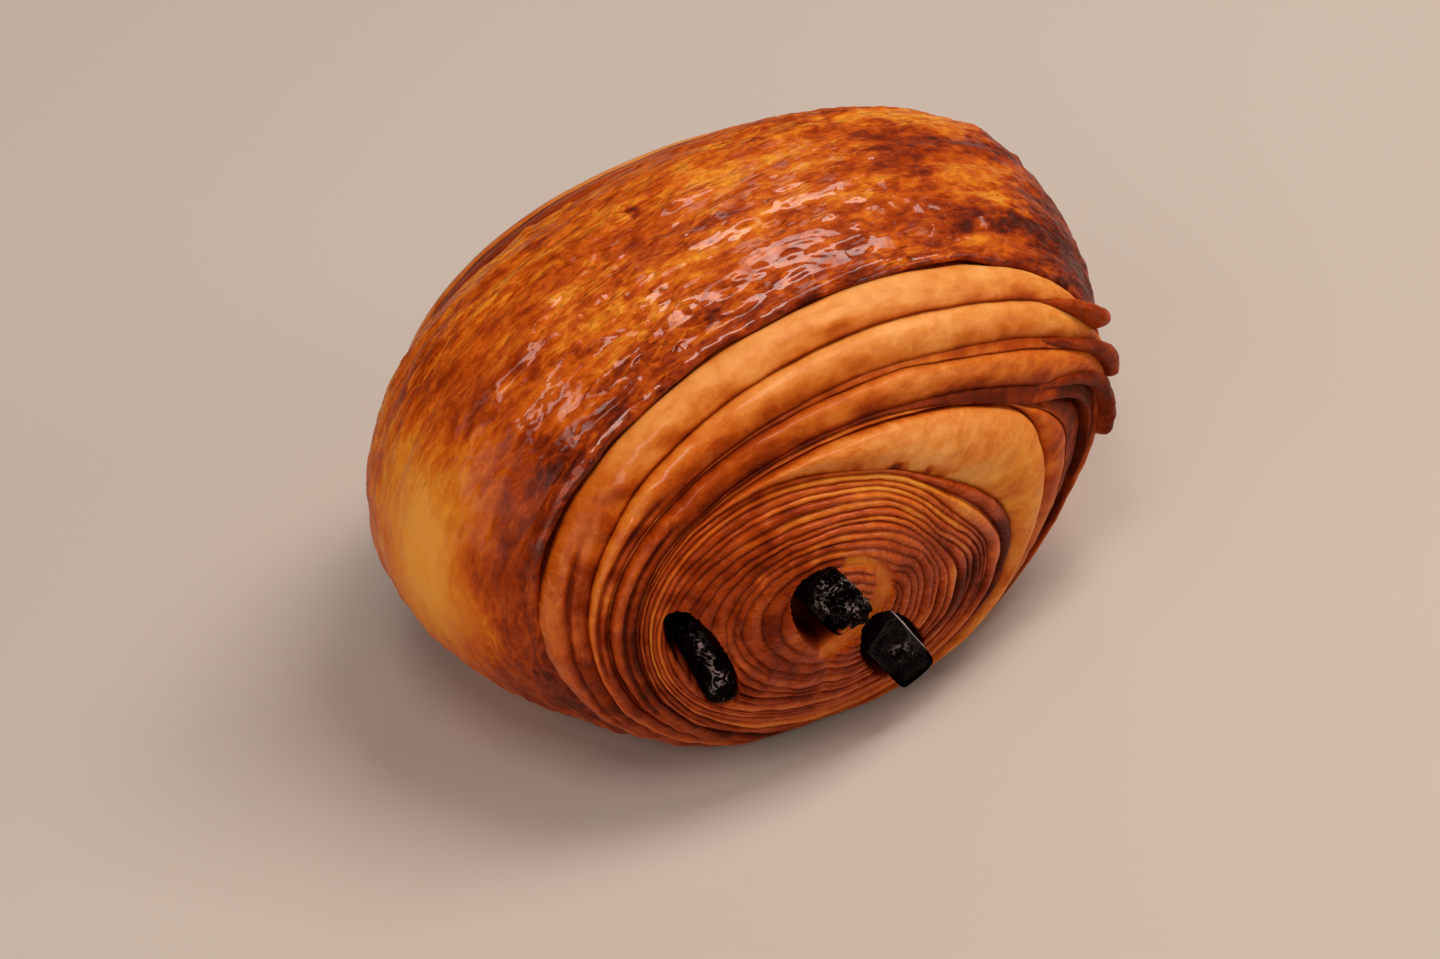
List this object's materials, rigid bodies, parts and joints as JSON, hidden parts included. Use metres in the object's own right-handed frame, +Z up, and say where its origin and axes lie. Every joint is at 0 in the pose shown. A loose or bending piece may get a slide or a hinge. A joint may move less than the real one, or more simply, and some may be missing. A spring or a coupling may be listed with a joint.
{
  "type": "pain au chocolat",
  "caption": "Rolled laminated pastry with a glossy browned crust, domed layered ends and chocolate sticks showing at both ends, ready to serve.",
  "frame": {"origin": "centre of the part's box at the height of its flat underside", "axes": "+X across the roll, towards the tips of the layers; +Y along the roll, away from the open layered end; +Z up from the flat underside"},
  "size_m": [0.1044, 0.0754, 0.058],
  "materials": {
    "dough": "baked laminated dough, glossy dark amber egg-washed crust and paler satin layers",
    "chocolate": "dark chocolate, glossy with a broken, crinkled end"
  },
  "bodies": {
    "root": {"dough": "dough", "chocolate_left": "chocolate", "chocolate_middle": "chocolate", "chocolate_right": "chocolate"}
  },
  "joints": []
}
